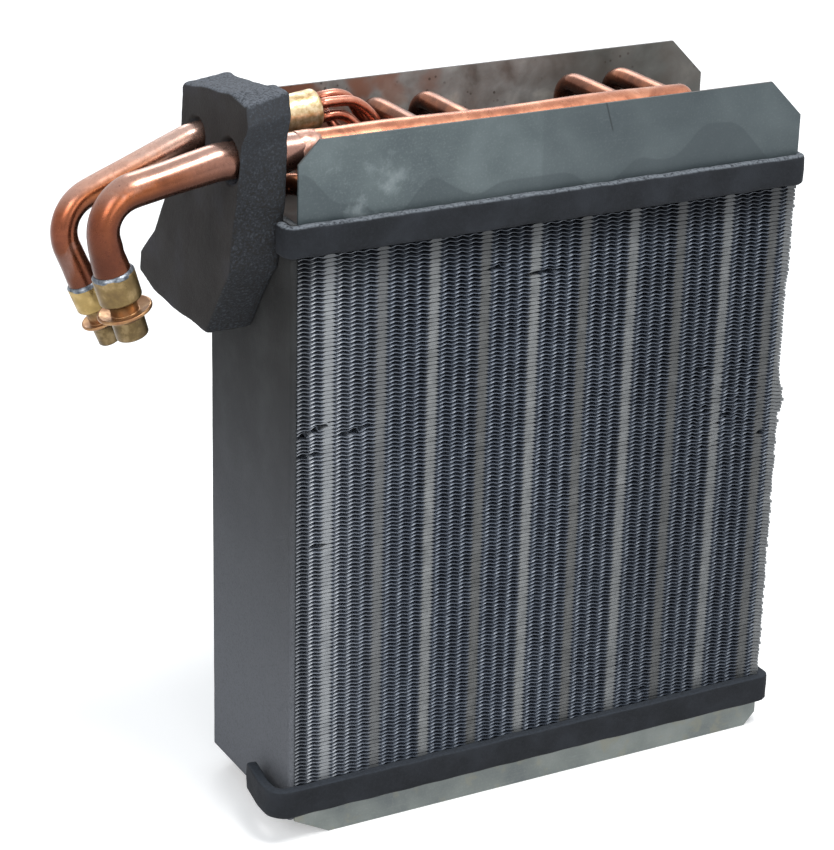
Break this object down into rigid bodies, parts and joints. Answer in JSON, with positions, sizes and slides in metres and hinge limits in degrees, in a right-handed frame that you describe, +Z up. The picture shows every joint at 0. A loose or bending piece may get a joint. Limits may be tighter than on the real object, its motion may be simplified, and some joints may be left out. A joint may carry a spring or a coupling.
{
  "type": "evaporator core",
  "caption": "Finned copper-tube evaporator core between folded end sheets, with bent suction and liquid pipes through a foam block and foam sealing belts.",
  "frame": {"origin": "middle of the finned block in plan, at the height of the bottom sheet's feet", "axes": "+X along the wide face, away from the pipes; +Y from the front face to the back, the way the air goes; +Z up"},
  "size_m": [0.351, 0.1179, 0.3506],
  "materials": {
    "fin_aluminium": "rolled sheet, satin, corrugated, some edges bent",
    "galvanised_sheet": "zinc coated, matt, with stains",
    "tube_copper": "drawn copper, brownish, bright on the bends",
    "pipe_copper": "drawn copper, heat stained near the joints",
    "line_copper": "thin drawn copper line",
    "header_copper": "drawn copper, orange pink",
    "solder": "dull silver solder",
    "fitting_brass": "turned brass",
    "dark_foam": "closed-cell foam, matt",
    "pad_foam": "thin foam sheet, matt, fine grain"
  },
  "bodies": {
    "root": {"fins": "fin_aluminium", "top_tube_sheet": "galvanised_sheet", "bottom_tube_sheet": "galvanised_sheet", "hairpin_tubes": "tube_copper", "return_bends": "tube_copper", "outlet_tubes": "tube_copper", "suction_header": "header_copper", "header_solder_joint": "solder", "suction_pipe": "pipe_copper", "suction_solder_ring": "solder", "suction_fitting": "fitting_brass", "liquid_pipe": "pipe_copper", "liquid_solder_ring": "solder", "liquid_fitting": "fitting_brass", "distributor": "fitting_brass", "thin_line_middle_left": "line_copper", "thin_line_middle_right": "line_copper", "thin_line_front_middle": "line_copper", "thin_line_front_right": "line_copper", "inlet_reducers": "tube_copper", "pipe_foam_block": "dark_foam", "side_pad": "pad_foam", "top_belt": "dark_foam", "bottom_belt": "dark_foam"}
  },
  "joints": []
}
